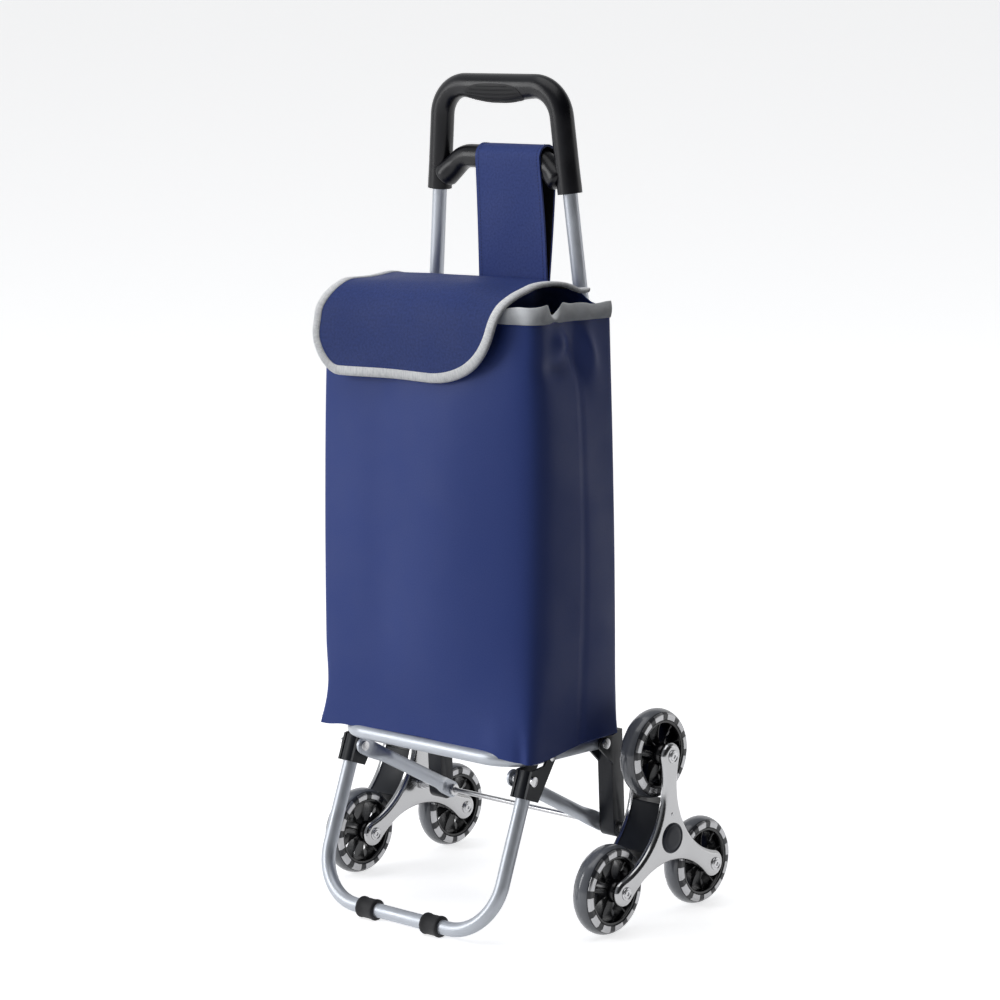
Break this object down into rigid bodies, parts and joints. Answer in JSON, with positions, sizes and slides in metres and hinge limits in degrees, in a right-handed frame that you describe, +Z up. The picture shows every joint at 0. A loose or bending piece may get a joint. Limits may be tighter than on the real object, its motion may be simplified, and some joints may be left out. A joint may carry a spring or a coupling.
{
  "type": "shopping trolley",
  "caption": "Folding shopping trolley: fabric bag with flap on a leaning tube frame, D handle, fold-down platform with leg, and stair-climbing three-wheel spiders.",
  "frame": {"origin": "on the floor, under the middle of the whole object's bounding box", "axes": "+Z up, +X to the right seen from the bag's front, the bag's front faces -Y"},
  "size_m": [0.433, 0.3496, 0.9279],
  "materials": {
    "bag_fabric": "coated, faint sheen",
    "binding_tape": "ribbed tape",
    "black_plastic": "moulded, satin",
    "board": "fibreboard, dark",
    "cap_plastic": "moulded, satin",
    "channel_fabric": "thin plain weave",
    "chrome_plate": "polished pressed steel",
    "grip_rubber": "dotted",
    "handle_plastic": "moulded, soft gloss",
    "hub_plastic": "glossy black",
    "rubber": "matte",
    "silver_paint": "silver powder coat",
    "steel": "zinc plated",
    "tyre": "smoky clear polyurethane, glossy",
    "woven_fabric": "coarse weave"
  },
  "bodies": {
    "frame": {"handle_loop": "handle_plastic", "grip_insert": "grip_rubber", "hook_bar": "handle_plastic", "handle_screws": "steel", "upper_tube_left": "silver_paint", "upper_tube_right": "silver_paint", "tube_collar_left": "black_plastic", "tube_collar_right": "black_plastic", "lower_tube_left": "silver_paint", "lower_tube_right": "silver_paint", "post_left": "black_plastic", "post_right": "black_plastic", "axle_rod": "steel", "axle_fasteners": "steel", "pivot_bolts": "steel", "bag_front_panel": "bag_fabric", "bag_back_panel": "bag_fabric", "bag_side_left": "bag_fabric", "bag_side_right": "bag_fabric", "bag_bottom_panel": "bag_fabric", "base_board": "board", "drawstring_channel": "channel_fabric", "hanging_strap": "woven_fabric"},
    "flap": {"flap": "woven_fabric", "flap_binding": "binding_tape"},
    "platform": {"platform_tube": "silver_paint"},
    "leg": {"leg_tube": "silver_paint", "leg_bracket_left": "black_plastic", "leg_bracket_right": "black_plastic", "bracket_rivets": "steel", "leg_bolts": "steel", "foot_sleeve_left": "rubber", "foot_sleeve_right": "rubber"},
    "strut_left": {"strut_left": "silver_paint", "strut_rivet_left": "steel"},
    "strut_right": {"strut_right": "silver_paint", "strut_rivet_right": "steel"},
    "spider_left": {"spider_plate_outer_left": "chrome_plate", "spider_plate_inner_left": "chrome_plate", "spider_core_left": "black_plastic", "spider_cap_left": "cap_plastic", "wheel_bolts_left": "steel"},
    "spider_right": {"spider_plate_outer_right": "chrome_plate", "spider_plate_inner_right": "chrome_plate", "spider_core_right": "black_plastic", "spider_cap_right": "cap_plastic", "wheel_bolts_right": "steel"},
    "wheel_left_top": {"tyre_left_top": "tyre", "hub_left_top": "hub_plastic"},
    "wheel_left_front": {"tyre_left_front": "tyre", "hub_left_front": "hub_plastic"},
    "wheel_left_rear": {"tyre_left_rear": "tyre", "hub_left_rear": "hub_plastic"},
    "wheel_right_top": {"tyre_right_top": "tyre", "hub_right_top": "hub_plastic"},
    "wheel_right_front": {"tyre_right_front": "tyre", "hub_right_front": "hub_plastic"},
    "wheel_right_rear": {"tyre_right_rear": "tyre", "hub_right_rear": "hub_plastic"}
  },
  "joints": [
    {"name": "platform_fold", "type": "hinge", "parent": "frame", "child": "platform", "pos_m": [0, 0.01816, 0.196], "axis": [-1, 0, 0], "range_deg": [0, 82], "deforming": ["bag_front_panel", "bag_back_panel", "bag_side_left", "bag_side_right", "bag_bottom_panel", "base_board", "drawstring_channel"]},
    {"name": "leg_fold", "type": "hinge", "parent": "platform", "child": "leg", "pos_m": [0, -0.07382, 0.19761], "axis": [-1, 0, 0], "range_deg": [-104.53, 0]},
    {"name": "strut_left_turn", "type": "hinge", "parent": "frame", "child": "strut_left", "pos_m": [-0.1057, 0.04516, 0.096], "axis": [-1, 0, 0], "range_deg": [0, 41.93]},
    {"name": "strut_right_turn", "type": "hinge", "parent": "frame", "child": "strut_right", "pos_m": [0.1057, 0.04516, 0.096], "axis": [-1, 0, 0], "range_deg": [0, 41.93]},
    {"name": "flap_lift", "type": "hinge", "parent": "frame", "child": "flap", "pos_m": [0, -0.00634, 0.7], "axis": [-1, 0, 0], "range_deg": [0, 75]},
    {"name": "spider_left_spin", "type": "hinge", "parent": "frame", "child": "spider_left", "pos_m": [-0.187, 0.04516, 0.096], "axis": [1, 0, 0], "continuous": true},
    {"name": "spider_right_spin", "type": "hinge", "parent": "frame", "child": "spider_right", "pos_m": [0.187, 0.04516, 0.096], "axis": [1, 0, 0], "continuous": true},
    {"name": "wheel_left_top_spin", "type": "hinge", "parent": "spider_left", "child": "wheel_left_top", "pos_m": [-0.187, 0.04516, 0.188], "axis": [1, 0, 0], "continuous": true},
    {"name": "wheel_left_front_spin", "type": "hinge", "parent": "spider_left", "child": "wheel_left_front", "pos_m": [-0.187, -0.03451, 0.05], "axis": [1, 0, 0], "continuous": true},
    {"name": "wheel_left_rear_spin", "type": "hinge", "parent": "spider_left", "child": "wheel_left_rear", "pos_m": [-0.187, 0.12484, 0.05], "axis": [1, 0, 0], "continuous": true},
    {"name": "wheel_right_top_spin", "type": "hinge", "parent": "spider_right", "child": "wheel_right_top", "pos_m": [0.187, 0.04516, 0.188], "axis": [1, 0, 0], "continuous": true},
    {"name": "wheel_right_front_spin", "type": "hinge", "parent": "spider_right", "child": "wheel_right_front", "pos_m": [0.187, -0.03451, 0.05], "axis": [1, 0, 0], "continuous": true},
    {"name": "wheel_right_rear_spin", "type": "hinge", "parent": "spider_right", "child": "wheel_right_rear", "pos_m": [0.187, 0.12484, 0.05], "axis": [1, 0, 0], "continuous": true}
  ],
  "couplings": [
    {"joint": "leg_fold", "follows": "platform_fold", "ratio": -1.2723},
    {"joint": "strut_left_turn", "follows": "platform_fold", "ratio": 0.5089},
    {"joint": "strut_right_turn", "follows": "platform_fold", "ratio": 0.5089}
  ]
}
